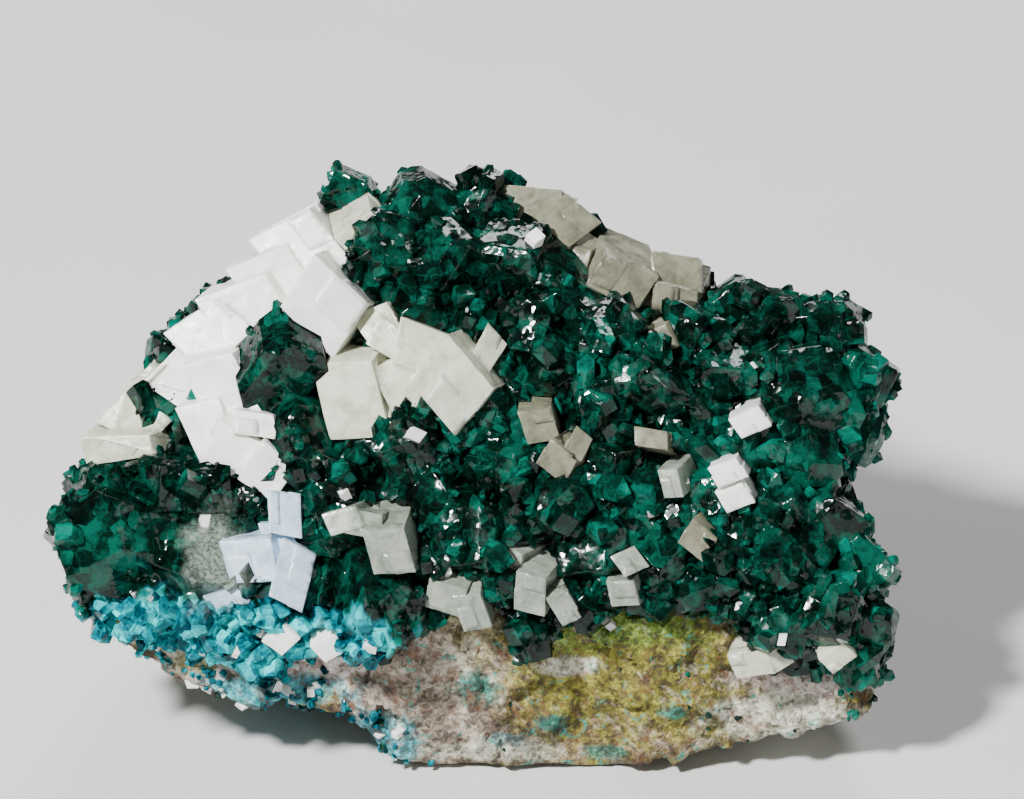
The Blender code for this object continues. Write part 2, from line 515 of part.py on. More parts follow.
def build():
    clear_scene()
    rng = np.random.default_rng(SEED)
    rock_plan = Plan(ROCK_OUTLINE, ROCK_SPACING, SEED, fine_below=WALL_TOP)
    crust_plan = Plan(CRUST_OUTLINE, CRUST_SPACING, SEED + 1)

    rock = rock_plan.solid("matrix_rock", rock_front, rock_back)
    bm = bmesh.new()
    bmesh.ops.create_cube(bm, size=0.2, matrix=Matrix.Translation((0, 0, -0.1)))
    floor = object_of("floor_cutter", bm, hidden=True)
    boolean(rock, floor, "DIFFERENCE")
    keep_largest_body(rock)
    finish(rock, "rock", 30.0)

    rock_envelope = rock_plan.solid(
        "rock_envelope", lambda u, v: rock_front(u, v) + GAP, lambda u, v: -DEEP, GAP, hidden=True)
    calcite_bed = rock_plan.solid(
        "calcite_bed", lambda u, v: rock_front(u, v) + CALCITE_SEAT, lambda u, v: -DEEP,
        CALCITE_SEAT, hidden=True)

    bm, through = bmesh.new(), bmesh.new()
    through_wide = bmesh.new()
    for row in list(DIOPTASE_CRYSTALS) + filling_crystals(rng):
        add_dioptase(bm, row, rng)
    for i, row in enumerate(DIOPTASE_THROUGH_CALCITE):
        add_dioptase(through, row, np.random.default_rng(SEED + i))
        add_dioptase(through_wide, row, np.random.default_rng(SEED + i), GAP)
    crystals = object_of("dioptase_crystals", bm, hidden=True)
    through_crystals = object_of("dioptase_through", through, hidden=True)
    through_cutter = object_of("dioptase_through_cutter", through_wide, hidden=True)

    sockets = bmesh.new()
    for name, rows in CALCITE_CLUSTERS.items():
        cluster = calcite_cluster(name, rows)
        boolean(cluster, calcite_bed, "DIFFERENCE")
        boolean(cluster, through_cutter, "DIFFERENCE")
        if sockets.verts:
            neighbours = object_of(name + "_neighbours", sockets.copy(), hidden=True)
            boolean(cluster, neighbours, "DIFFERENCE")
        keep_largest_body(cluster)
        finish(cluster, "calcite")
        for row in rows:
            add_rhomb(sockets, row, GAP)
    socket_cutter = object_of("calcite_sockets", sockets, hidden=True)

    crust = crust_plan.solid(
        "dioptase_crust",
        lambda u, v: rock_front(u, v) + CRUST_THICKNESS - 0.9 * math.exp(
            -max(0.0, edge_distance(CRUST_OUTLINE, u, v)) / 1.5),
        lambda u, v: rock_front(u, v) - 3.0)
    boolean(crust, crystals, "UNION")
    boolean(crust, socket_cutter, "DIFFERENCE")
    boolean(crust, through_crystals, "UNION")
    boolean(crust, rock_envelope, "DIFFERENCE")
    keep_largest_body(crust)
    finish(crust, "dioptase")


build()
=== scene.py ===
"""Looks for the dioptase specimen: its CAD solids refined, with small crystals grown over them.

Places on the crystal face are given in face coordinates, in millimetres: u to the right, v up the
face and d out of it, as in the CAD. Everything else is in metres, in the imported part's frame.
"""

import math
from functools import reduce
from itertools import combinations

import bmesh
import bpy
import numpy as np
from mathutils import Matrix, Vector, noise
from mathutils.bvhtree import BVHTree


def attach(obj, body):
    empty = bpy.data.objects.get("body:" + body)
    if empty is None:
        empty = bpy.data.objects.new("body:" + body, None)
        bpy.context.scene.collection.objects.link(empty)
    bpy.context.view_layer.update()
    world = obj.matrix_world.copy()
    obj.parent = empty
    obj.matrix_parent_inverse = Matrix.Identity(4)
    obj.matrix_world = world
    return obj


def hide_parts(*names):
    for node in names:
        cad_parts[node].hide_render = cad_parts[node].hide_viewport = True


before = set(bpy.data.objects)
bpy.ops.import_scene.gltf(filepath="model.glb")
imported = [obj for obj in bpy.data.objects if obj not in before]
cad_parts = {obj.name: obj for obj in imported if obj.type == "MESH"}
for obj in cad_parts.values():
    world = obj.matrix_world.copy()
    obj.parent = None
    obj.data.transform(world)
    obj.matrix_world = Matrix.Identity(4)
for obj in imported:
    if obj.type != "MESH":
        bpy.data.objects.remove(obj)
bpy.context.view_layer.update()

MM = 0.001
SEED = 4

# How the crystal face lies in the world
LEAN = math.radians(30)
FOOT_CENTRE = Vector((-0.3, 19.4, 0.0))
FLOOR_LIFT = 0.6
FACE_TO_WORLD = Matrix((
    (1.0, 0.0, 0.0),
    (0.0, math.sin(LEAN), -math.cos(LEAN)),
    (0.0, math.cos(LEAN), math.sin(LEAN)),
))
OUT = FACE_TO_WORLD @ Vector((0, 0, 1))  # straight out of the face

# What to add to a world point in millimetres, once it is turned into the face's axes
WORLD_IN_FACE = (FOOT_CENTRE.x, FOOT_CENTRE.y * math.sin(LEAN) - FLOOR_LIFT * math.cos(LEAN), 0.0)

# Camera
VIEW_MIDDLE = (3.46, 34.5, 4.0)  # the face point at the middle of the picture
VIEW_WIDTH = 95.85  # millimetres across the picture there
VIEW_DISTANCE = 0.85
LIGHTS_AIM = (0.0, 0.0, 0.022)

# Optics
DIOPTASE_IOR = 1.66
DIOPTASE_SPECULAR = 0.04  # low, or the pale surroundings turn the facets grey
CALCITE_IOR = 1.6

# Refining the solids, in millimetres
MERGE_WITHIN = 0.004
CALCITE_SWELL = 0.27  # closes most of the clearance that the CAD keeps between pieces
CALCITE_BEVEL = 0.07
CRUST_BEVEL = 0.11
ROCK_VOXEL = 0.42
ROCK_SWELL = 0.25
ROCK_FLAT = 0.2  # up to this height the underside stays flat
ROCK_RISE = 1.2  # the relief sets in over this height above that

# Small crystals
CRUST_SAMPLES = 9000
ROCK_SAMPLES = 16000
DIOPTASE_FORMS = 24
CALCITE_FORMS = 10
CAP_ANGLE = math.radians(51)  # between a cap face's normal and the crystal's axis
RHOMB_ANGLE = math.radians(101.9)  # the wide angle of a cleavage face
HOLLOW_BELOW = 0.55  # a place is a hollow where less than this share of it is open
RIM_REACH = 1.6  # how far from its line the turquoise rim spreads

# Places in face coordinates: centre and radii, with a share of the effect for the looks
# Painted light: lighter teal patches on the crust where light falls on it
PAINTED_LIGHT_PLACES = (
    ((36.8, 32.5), (2.6, 8.0), 0.9), ((27.5, 28.0), (7.5, 3.4), 0.75), ((36.8, 18.5), (3.2, 3.6), 0.85),
    ((12.0, 37.5), (3.0, 3.5), 0.45), ((3.0, 31.5), (4.5, 3.5), 0.5), ((-27.5, 33.7), (3.5, 2.0), 0.8),
    ((-34.5, 20.0), (3.5, 3.5), 0.7), ((-10.5, 54.5), (4.0, 1.8), 0.6), ((17.0, 22.5), (5.0, 4.0), 0.5),
    ((35.0, 9.0), (4.0, 4.0), 0.5), ((-33.5, 38.5), (2.5, 5.0), 0.8),
)
COATED_PLACE = ((-24.2, 19.6), (2.8, 4.2), 0.75)
STRIP_PLACE = ((-23.5, 12.4), (14.0, 3.8), 0.9)
ROCK_PLACES = (
    ("purple", (-5.2, 7.0), (7.4, 8.0), 0.9), ("ochre", (15.0, 9.5), (11.5, 6.5), 0.95),
    ("green", (12.5, 14.0), (8.5, 2.6), 0.95), ("green", (-1.0, 16.5), (4.0, 2.0), 0.7),
    ("pink", (-15.0, 9.6), (4.6, 2.6), 0.95), ("pink", (31.0, 8.2), (7.5, 1.6), 0.8),
    ("white", (28.5, 4.6), (6.2, 2.2), 0.95), ("white", (-26.5, 13.5), (5.0, 1.6), 0.7),
    ("white", (9.0, 9.6), (3.0, 0.8), 0.85), ("white", (2.0, 1.6), (6.0, 1.0), 0.7),
    ("pink", (-22.5, 9.6), (6.0, 1.6), 0.7), ("cyan", (-19.0, 7.2), (6.5, 1.5), 0.9),
    ("cyan", (-9.0, 2.8), (3.2, 2.4), 0.85), ("ochre", (-32.0, 13.6), (2.6, 1.8), 0.95),
    ("ochre", (-26.5, 9.8), (2.2, 0.9), 0.7), ("teal", (0.3, 7.3), (2.0, 1.6), 0.85),
    ("teal", (7.2, 4.1), (1.6, 0.9), 0.85), ("teal", (18.6, 5.1), (1.2, 0.6), 0.85),
    ("teal", (12.1, 1.4), (2.0, 0.6), 0.7), ("cyan", (2.8, 2.6), (1.8, 0.7), 0.5),
)
BARE_PLACES = (  # large crystals that stay free of small ones
    ((-17.1, 35.3), (6.0, 7.0)), ((-10.0, 19.0), (4.8, 5.8)), ((-30.5, 20.5), (7.5, 5.0)),
)
GRAIN_AND_GLINT_PLACES = (  # bright white grains, some of them painted highlights set where glints of light show: face coordinates and half size
    (5.5, 49.3, 0.75), (-12.2, 25.7, 0.55), (26.0, 37.6, 0.35), (28.5, 12.3, 0.45), (-5.6, 31.2, 0.8),
    (-24.8, 23.4, 0.7), (12.8, 13.6, 0.5), (-3.0, 18.8, 0.6), (16.4, 24.0, 0.4), (10.0, 34.5, 0.35),
)
RIM_LINE = ((-34.0, 12.5), (-25.7, 9.4), (-12.6, 6.0), (-5.1, 0.5))  # along the turquoise rim


def to_world(point):
    """A face point in millimetres as a world point in metres."""
    moved = FACE_TO_WORLD @ Vector(point) - FOOT_CENTRE
    moved.z += FLOOR_LIFT
    return moved * MM


def to_face(point):
    """A world point in metres as a face point in millimetres."""
    moved = Vector(point) / MM
    moved.z -= FLOOR_LIFT
    return FACE_TO_WORLD.transposed() @ (moved + FOOT_CENTRE)


# Shader graphs

class Graph:
    """Short names for building a material's nodes. Sizes are in millimetres."""

    def __init__(self, name):
        self.material = bpy.data.materials.new(name)
        self.material.use_nodes = True
        self.tree = self.material.node_tree
        self.tree.nodes.clear()
        self.out = self.add("ShaderNodeOutputMaterial")
        self.shader = self.add("ShaderNodeBsdfPrincipled")
        self.link(self.shader.outputs[0], self.out.inputs["Surface"])
        coordinates = self.add("ShaderNodeTexCoord")
        scaled = self.add("ShaderNodeVectorMath", operation="SCALE")
        self.link(coordinates.outputs["Object"], scaled.inputs[0])
        scaled.inputs["Scale"].default_value = 1 / MM
        self.mm = scaled.outputs[0]  # the point in millimetres

    def add(self, kind, **settings):
        node = self.tree.nodes.new(kind)
        for key, value in settings.items():
            setattr(node, key, value)
        return node

    def link(self, source, target):
        self.tree.links.new(source, target)

    def feed(self, socket, value):
        """Links value to the socket if it is an output, or else sets it."""
        if isinstance(value, bpy.types.NodeSocket):
            self.link(value, socket)
        else:
            socket.default_value = value

    def noise(self, size, detail=4.0, roughness=0.55, distortion=0.0, where=None):
        node = self.add("ShaderNodeTexNoise")
        self.feed(node.inputs["Vector"], where or self.mm)
        node.inputs["Scale"].default_value = 1 / size
        node.inputs["Detail"].default_value = detail
        node.inputs["Roughness"].default_value = roughness
        node.inputs["Distortion"].default_value = distortion
        return node.outputs["Fac"]

    def cells(self, size, output="Color", feature="F1"):
        node = self.add("ShaderNodeTexVoronoi", feature=feature)
        self.link(self.mm, node.inputs["Vector"])
        node.inputs["Scale"].default_value = 1 / size
        return node.outputs[output]

    def cell_tones(self, size):
        """A random number for each cell."""
        grey = self.add("ShaderNodeRGBToBW")
        self.link(self.cells(size), grey.inputs[0])
        return grey.outputs[0]

    def ramp(self, factor, *stops):
        """A colour from stops of (position, colour)."""
        node = self.add("ShaderNodeValToRGB")
        elements = node.color_ramp.elements
        for i, (at, colour) in enumerate(stops):
            element = elements[i] if i < 2 else elements.new(at)
            element.position = at
            element.color = (*colour, 1.0)
        self.feed(node.inputs[0], factor)
        return node.outputs[0]

    def step(self, factor, low, high, to_low=0.0, to_high=1.0):
        """Remaps factor from low..high, smoothly and clamped."""
        node = self.add("ShaderNodeMapRange", interpolation_type="SMOOTHSTEP")
        self.feed(node.inputs["Value"], factor)
        node.inputs["From Min"].default_value = low
        node.inputs["From Max"].default_value = high
        node.inputs["To Min"].default_value = to_low
        node.inputs["To Max"].default_value = to_high
        return node.outputs[0]

    def math(self, operation, *values):
        node = self.add("ShaderNodeMath", operation=operation)
        for socket, value in zip(node.inputs, values):
            self.feed(socket, value)
        return node.outputs[0]

    def mix(self, factor, a, b):
        """Colour a where factor is 0 and b where it is 1."""
        node = self.add("ShaderNodeMix", data_type="RGBA")
        self.feed(node.inputs[0], factor)
        for socket, value in ((node.inputs[6], a), (node.inputs[7], b)):
            self.feed(socket, (*value, 1.0) if isinstance(value, tuple) else value)
        return node.outputs[2]

    def mapped(self, where, location=(0.0, 0.0, 0.0), rotation=(0.0, 0.0, 0.0), scale=(1.0, 1.0, 1.0)):
        node = self.add("ShaderNodeMapping")
        self.link(where, node.inputs["Vector"])
        node.inputs["Location"].default_value = location
        node.inputs["Rotation"].default_value = rotation
        node.inputs["Scale"].default_value = scale
        return node.outputs[0]

    def face_point(self):
        """The shaded point in face coordinates."""
        return self.mapped(self.mm, WORLD_IN_FACE, (LEAN - math.pi / 2, 0.0, 0.0))

    def patch(self, face, centre, radii, edge, wobble):
        """1 inside an ellipse on the face, falling to 0 outside it, with a ragged edge."""
        scaled = self.add("ShaderNodeVectorMath", operation="MULTIPLY_ADD")
        self.link(face, scaled.inputs[0])
        scaled.inputs[1].default_value = (1 / radii[0], 1 / radii[1], 0.0)
        scaled.inputs[2].default_value = (-centre[0] / radii[0], -centre[1] / radii[1], 0.0)
        length = self.add("ShaderNodeVectorMath", operation="LENGTH")
        self.link(scaled.outputs[0], length.inputs[0])
        far = self.math("ADD", length.outputs["Value"], wobble)
        return self.step(far, 1 - edge, 1 + edge, 1.0, 0.0)

    def bump(self, height, distance, strength, normal=None):
        node = self.add("ShaderNodeBump")
        node.inputs["Distance"].default_value = distance * MM
        node.inputs["Strength"].default_value = strength
        self.link(height, node.inputs["Height"])
        if normal is not None:
            self.link(normal, node.inputs["Normal"])
        return node.outputs[0]

    def facets(self, *layers):
        """The normal, tipped a different way in every small growth facet. Layers are (size, tip)."""
        normal = self.add("ShaderNodeNewGeometry").outputs["Normal"]
        for size, tip in layers:
            away = self.add("ShaderNodeVectorMath", operation="SUBTRACT")
            self.link(self.cells(size), away.inputs[0])
            away.inputs[1].default_value = (0.5, 0.5, 0.5)
            tipped = self.add("ShaderNodeVectorMath", operation="MULTIPLY_ADD")
            self.link(away.outputs[0], tipped.inputs[0])
            tipped.inputs[1].default_value = (tip, tip, tip)
            self.link(normal, tipped.inputs[2])
            normal = tipped.outputs[0]
        unit = self.add("ShaderNodeVectorMath", operation="NORMALIZE")
        self.link(normal, unit.inputs[0])
        return unit.outputs[0]

    def finish(self, **inputs):
        """Feeds the shader's inputs, named with _ for each space."""
        for name, value in inputs.items():
            self.feed(self.shader.inputs[name.replace("_", " ")], value)
        return self.material


def dioptase_material(name, dark, middle, light, transmission, absorb, density, veil_share):
    """Emerald crystal, clear but strongly coloured, with pale veils, mosaic growth facets and lighter teal
    patches of painted light.
    """
    g = Graph(name)
    face = g.face_point()
    cloud = g.noise(2.4, detail=3.0, roughness=0.62)
    speckle = g.noise(0.35, detail=2.0, roughness=0.7)
    wobble = g.math("MULTIPLY_ADD", g.noise(3.0, detail=2.0, roughness=0.6), 1.8, -0.9)

    def place(centre, radii, share, edge):
        return g.math("MULTIPLY", g.patch(face, centre, radii, edge, wobble), share)

    # Painted light: the body colour turns lighter teal in these patches, where light falls on the crust
    painted_light = reduce(lambda a, b: g.math("MAXIMUM", a, b), [place(*row, edge=0.5) for row in PAINTED_LIGHT_PLACES])
    tone = g.math("MULTIPLY_ADD", cloud, 0.52, g.math("MULTIPLY", g.cell_tones(1.2), 0.28))
    tone = g.math("MULTIPLY_ADD", speckle, 0.20, tone)
    tone = g.math("MULTIPLY_ADD", painted_light, 0.19, tone)
    body = g.ramp(tone, (0.40, dark), (0.52, middle), (0.68, light))
    crack = g.math("ABSOLUTE", g.math("SUBTRACT", g.noise(2.2, detail=1.0), 0.5))
    veil = g.step(crack, 0.0, 0.018, veil_share, 0.0)
    colour = g.mix(veil, body, light)

    strip = place(*STRIP_PLACE, edge=0.25)
    cyan = g.ramp(tone, (0.38, (0.0, 0.04, 0.06)), (0.50, (0.0, 0.25, 0.29)), (0.64, (0.03, 0.72, 0.74)))
    colour = g.mix(strip, colour, cyan)

    centre, radii, share = COATED_PLACE
    grainy = g.step(speckle, 0.30, 0.66, 0.35, 1.0)
    coat = g.math("MULTIPLY", g.patch(face, centre, radii, 0.45, wobble), grainy)
    coat = g.math("MULTIPLY", coat, share)
    colour = g.mix(coat, colour, (0.30, 0.36, 0.30))

    clouded = g.math("MAXIMUM", coat, g.math("MULTIPLY", strip, 0.8))
    clear = g.math("MULTIPLY", g.math("SUBTRACT", 1.0, clouded), transmission)
    volume = g.add("ShaderNodeVolumeAbsorption")
    volume.inputs["Color"].default_value = (*absorb, 1.0)
    volume.inputs["Density"].default_value = density
    g.link(volume.outputs[0], g.out.inputs["Volume"])
    return g.finish(Base_Color=colour, Roughness=g.step(cloud, 0.3, 0.7, 0.08, 0.18), IOR=DIOPTASE_IOR,
                    Specular_IOR_Level=DIOPTASE_SPECULAR, Transmission_Weight=clear,
                    Normal=g.facets((1.5, 0.22), (0.5, 0.18)))


def calcite_material(name, tint, shade, scatter, transmission=0.0, roughness=(0.28, 0.5)):
    """Milky cleavage rhombs, with cloudy patches and fine cleavage lines."""
    g = Graph(name)
    cloud = g.noise(2.2, detail=5.0, roughness=0.6, distortion=0.6)
    fine = g.noise(0.5, roughness=0.6)
    tone = g.math("ADD", g.math("MULTIPLY", cloud, 0.7), g.math("MULTIPLY", fine, 0.3))
    cleavage = g.step(g.cells(1.6, "Distance", "DISTANCE_TO_EDGE"), 0.0, 0.10)
    normal = g.bump(cleavage, 0.02, 0.35, g.bump(fine, 0.035, 0.5))
    g.shader.subsurface_method = "RANDOM_WALK"
    g.shader.inputs["Subsurface Radius"].default_value = (1.0, 0.95, 0.85)
    return g.finish(Base_Color=g.ramp(tone, (0.36, shade), (0.58, tint)),
                    Roughness=g.step(cloud, 0.35, 0.65, *roughness), IOR=CALCITE_IOR,
                    Subsurface_Weight=scatter, Subsurface_Scale=1.2 * MM,
                    Transmission_Weight=transmission, Normal=normal)


def rock_material():
    """Limonite-stained rock, with the face's patches of ochre, purplish brown, pink and white."""
    g = Graph("limonite_rock")
    face = g.face_point()
    fine = g.noise(0.8, roughness=0.72, distortion=0.3)
    coarse = g.noise(3.0, roughness=0.65)
    grain = g.math("ADD", g.math("MULTIPLY", fine, 0.55), g.math("MULTIPLY", coarse, 0.45))
    specks = g.cell_tones(0.38)
    ragged = g.noise(2.6, detail=5.0, roughness=0.75)
    wobble = g.math("MULTIPLY", g.math("SUBTRACT", ragged, 0.5), 2.6)
    turned = g.mapped(face, rotation=(0.0, 0.0, math.radians(42)))

    def streaks(shift):
        """Long thin marks that run down the face from left to right."""
        drawn_out = g.mapped(turned, (0.0, shift, 0.0), scale=(0.5, 1.0, 0.5))
        return g.noise(1.3, detail=3.0, roughness=0.7, where=drawn_out)

    def shades(dark, middle, light, top=0.61):
        return g.ramp(grain, (0.40, dark), (0.50, middle), (top, light))

    tints = {
        "brown": shades((0.022, 0.012, 0.005), (0.13, 0.08, 0.03), (0.40, 0.29, 0.14)),
        "ochre": shades((0.026, 0.019, 0.001), (0.135, 0.122, 0.010), (0.38, 0.37, 0.06)),
        "purple": shades((0.060, 0.038, 0.032), (0.26, 0.20, 0.145), (0.60, 0.55, 0.46)),
        "green": shades((0.018, 0.05, 0.001), (0.13, 0.22, 0.010), (0.44, 0.56, 0.15), top=0.62),
        "pink": shades((0.18, 0.12, 0.10), (0.50, 0.42, 0.38), (0.82, 0.77, 0.74)),
        "white": shades((0.22, 0.21, 0.14), (0.55, 0.55, 0.43), (0.84, 0.83, 0.74)),
        "cyan": shades((0.0, 0.04, 0.05), (0.0, 0.22, 0.27), (0.10, 0.70, 0.74)),
        "teal": shades((0.0, 0.03, 0.025), (0.0, 0.12, 0.09), (0.04, 0.36, 0.29)),
    }
    near_black = (0.030, 0.018, 0.010)
    rust = (0.15, 0.055, 0.018)
    sand = (0.60, 0.54, 0.44)
    chalk = (0.55, 0.50, 0.40)

    stains = g.noise(6.5, roughness=0.7, distortion=0.5)
    shadows = g.noise(9.0, detail=3.0, roughness=0.6)
    colour = g.mix(g.step(g.noise(5.0, roughness=0.65), 0.42, 0.60), tints["brown"], tints["ochre"])
    colour = g.mix(g.step(stains, 0.50, 0.60, 0.0, 0.8), colour, tints["purple"])
    colour = g.mix(g.step(shadows, 0.40, 0.56, 0.65, 0.0), colour, near_black)
    for tint, centre, radii, share in ROCK_PLACES:
        inside = g.patch(face, centre, radii, 0.35, wobble)
        colour = g.mix(g.math("MULTIPLY", inside, share), colour, tints[tint])

    spots = g.noise(1.5, roughness=0.6, distortion=0.8)
    spot_colour = g.mix(g.noise(0.4), (0.0, 0.14, 0.11), (0.03, 0.42, 0.36))
    colour = g.mix(g.math("MULTIPLY", g.step(spots, 0.60, 0.66), 0.75), colour, spot_colour)
    colour = g.mix(g.step(streaks(0.0), 0.54, 0.66, 0.0, 0.65), colour, rust)
    colour = g.mix(g.step(streaks(40.0), 0.58, 0.70, 0.0, 0.3), colour, sand)
    colour = g.mix(g.step(specks, 0.80, 0.86, 0.0, 0.15), colour, chalk)
    colour = g.mix(g.step(specks, 0.24, 0.18, 0.0, 0.6), colour, near_black)
    normal = g.bump(g.cells(0.35, "Distance"), 0.12, 0.6, g.bump(grain, 0.45, 1.0))
    return g.finish(Base_Color=colour, Roughness=g.step(grain, 0.3, 0.7, 0.62, 0.92), Normal=normal)


EMERALD = dioptase_material(
    "dioptase_emerald", dark=(0.0, 0.003, 0.0017), middle=(0.0, 0.0155, 0.009), light=(0.0, 0.105, 0.067),
    transmission=0.34, absorb=(0.01, 0.80, 0.66), density=1600.0, veil_share=0.35)
TEAL = dioptase_material(
    "dioptase_teal", dark=(0.0, 0.007, 0.0045), middle=(0.0, 0.033, 0.020), light=(0.0, 0.17, 0.115),
    transmission=0.30, absorb=(0.01, 0.83, 0.71), density=1500.0, veil_share=0.3)
TURQUOISE = dioptase_material(
    "dioptase_turquoise", dark=(0.0, 0.018, 0.027), middle=(0.0, 0.13, 0.165), light=(0.005, 0.50, 0.55),
    transmission=0.15, absorb=(0.01, 0.84, 0.86), density=1200.0, veil_share=0.3)
WHITE = calcite_material("calcite_white", (0.90, 0.89, 0.85), (0.78, 0.77, 0.72), scatter=0.22)
CREAM = calcite_material("calcite_cream", (0.60, 0.62, 0.48), (0.40, 0.41, 0.30), scatter=0.20)
GREY = calcite_material("calcite_grey", (0.23, 0.23, 0.155), (0.12, 0.12, 0.08), scatter=0.10,
                        transmission=0.10, roughness=(0.25, 0.42))
PALE = calcite_material("calcite_pale", (0.36, 0.40, 0.33), (0.18, 0.22, 0.17), scatter=0.10,
                        transmission=0.18, roughness=(0.22, 0.38))
BLUISH = calcite_material("calcite_bluish", (0.52, 0.66, 0.78), (0.32, 0.44, 0.54), scatter=0.2)
ROCK = rock_material()

CALCITE_LOOK = {
    "calcite_upper_left_mass": WHITE, "calcite_left_lobe": CREAM, "calcite_peak_rhomb": CREAM,
    "calcite_middle_cluster": CREAM, "calcite_crest_cluster": GREY, "calcite_shoulder_blocks": GREY,
    "calcite_shoulder_chip": GREY, "calcite_saddle_rhomb": GREY, "calcite_twin_rhomb": GREY,
    # Painted reflection: the mirror rhomb's bright white calcite stands in for its strong reflection
    "calcite_mirror_rhomb": WHITE, "calcite_stepped_stack": WHITE, "calcite_peg": PALE,
    "calcite_grey_rhomb": GREY, "calcite_grey_wedge": GREY, "calcite_lower_left_cluster": BLUISH,
    "calcite_centre_rhomb": PALE, "calcite_blade": PALE, "calcite_low_cubes": PALE,
    "calcite_pale_patch": PALE, "calcite_strip_rhomb": WHITE, "calcite_strip_wedge": WHITE,
    "calcite_right_foot": CREAM, "calcite_right_foot_chip": CREAM,
}


# Meshes

def add_object(name, mesh, look, replaced=()):
    made = bpy.data.objects.new(name, mesh)
    bpy.context.scene.collection.objects.link(made)
    mesh.materials.clear()
    mesh.materials.append(look)
    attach(made, "root")
    if replaced:
        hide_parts(*replaced)


def merged(node):
    """A CAD node's mesh with its doubled corners joined."""
    bm = bmesh.new()
    bm.from_mesh(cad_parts[node].data)
    bmesh.ops.remove_doubles(bm, verts=bm.verts, dist=MERGE_WITHIN * MM)
    return bm


def solid_of(node):
    """A CAD node's surface as clean flat faces."""
    bm = merged(node)
    bmesh.ops.dissolve_limit(bm, angle_limit=math.radians(0.7), verts=bm.verts, edges=bm.edges)
    bm.normal_update()
    return bm


def swell(bm, by, most=1.6):
    """Moves every face outwards by the same amount, and no corner more than most times that."""
    bm.normal_update()
    moves = [v.normal * min(v.calc_shell_factor(), most) * by for v in bm.verts]
    for vert, move in zip(bm.verts, moves):
        vert.co += move


def blunt_edges(bm, width, sharper_than=22.0, longer_than=0.35):
    """Rounds the convex edges that are long and sharp enough to catch the light."""
    chosen = [
        e for e in bm.edges
        if len(e.link_faces) == 2 and e.is_convex and e.calc_length() > longer_than * MM
        and e.calc_face_angle(0.0) > math.radians(sharper_than)
    ]
    bmesh.ops.bevel(bm, geom=chosen, offset=width * MM, offset_type="OFFSET", segments=2,
                    profile=0.6, affect="EDGES", clamp_overlap=False)


def roughen(bm, longest, height, size, most_cuts=7):
    """Cuts the faces finely and gives them the slight unevenness of grown or cleaved faces."""
    bmesh.ops.triangulate(bm, faces=bm.faces)
    for _ in range(most_cuts):
        long = [e for e in bm.edges if e.calc_length() > longest * MM]
        if not long:
            break
        bmesh.ops.subdivide_edges(bm, edges=long, cuts=1)
        bmesh.ops.triangulate(bm, faces=[f for f in bm.faces if len(f.verts) > 3])
    bm.normal_update()
    moves = []
    for vert in bm.verts:
        place = vert.co / (size * MM)
        rise = noise.fractal(place, 0.9, 2.2, 3) + 0.5 * noise.cell(place * 1.4)
        moves.append(vert.normal * rise * height * MM)
    for vert, move in zip(bm.verts, moves):
        vert.co += move


def mesh_of(bm, name, sharp=32.0):
    mesh = bpy.data.meshes.new(name)
    bm.to_mesh(mesh)
    bm.free()
    mesh.shade_smooth()
    mesh.set_sharp_from_angle(angle=math.radians(sharp))
    return mesh


def add_growth_plates(bm, rng, smallest=2.0, large=12.0, skipped=0.4, shortest=0.8):
    """Thin stepped rhomb plates on a calcite's larger faces, each starting from one of its corners."""
    for face in [f for f in bm.faces if f.calc_area() > smallest * MM * MM and len(f.verts) >= 4]:
        for _ in range(2 if face.calc_area() > large * MM * MM else 1):
            if rng.random() < skipped:
                continue
            loops = list(face.loops)
            corner = loops[rng.integers(len(loops))]
            ahead = corner.link_loop_next.vert.co - corner.vert.co
            back = corner.link_loop_prev.vert.co - corner.vert.co
            if min(ahead.length, back.length) < shortest * MM:
                continue
            a, b = rng.uniform(0.35, 0.9, 2)
            start = corner.vert.co.copy()
            rise = face.normal * rng.uniform(0.05, 0.13) * MM
            opposite = start + (ahead * a + back * b) * 0.9
            ring = [start, start + ahead * a * 0.9, opposite, start + back * b * 0.9]
            low = [bm.verts.new(p - rise) for p in ring]
            high = [bm.verts.new(p + rise) for p in ring]
            bm.faces.new(high)
            bm.faces.new(low[::-1])
            for i in range(4):
                j = (i + 1) % 4
                bm.faces.new((low[i], low[j], high[j], high[i]))


def vectors(items, name):
    """A vector of every mesh item, as rows of three numbers."""
    flat = np.empty(len(items) * 3, np.float32)
    items.foreach_get(name, flat)
    return flat.reshape(-1, 3)


def remeshed(mesh):
    """The mesh on an even grid of small faces."""
    holder = bpy.data.objects.new("rock_remesh", mesh)
    bpy.context.scene.collection.objects.link(holder)
    remesh = holder.modifiers.new("Remesh", "REMESH")
    remesh.mode = "VOXEL"
    remesh.voxel_size = ROCK_VOXEL * MM
    graph = bpy.context.evaluated_depsgraph_get()
    fine = bpy.data.meshes.new_from_object(holder.evaluated_get(graph))
    bpy.data.objects.remove(holder)
    return fine


def rock_relief(place):
    """How far the rock's surface moves out at a place in millimetres."""
    ledges = noise.ridged_multi_fractal(place / 7.0, 0.9, 2.1, 4, 1.0, 2.0)
    lumps = noise.fractal(place / 2.4, 0.8, 2.1, 4)
    blocks = noise.cell(place / 1.1 + noise.noise_vector(place / 1.3) * 0.6)
    grit = noise.fractal(place / 0.9, 0.9, 2.1, 2)
    cell = noise.voronoi(place / 4.5)[1][0]
    chip = (place / 4.5 - cell).dot(noise.noise_vector(cell * 5.3))  # a tilted break in each cell
    return ROCK_SWELL + 0.36 * lumps + 0.16 * (ledges - 1.2) + 0.05 * blocks + 0.14 * grit + 1.9 * chip


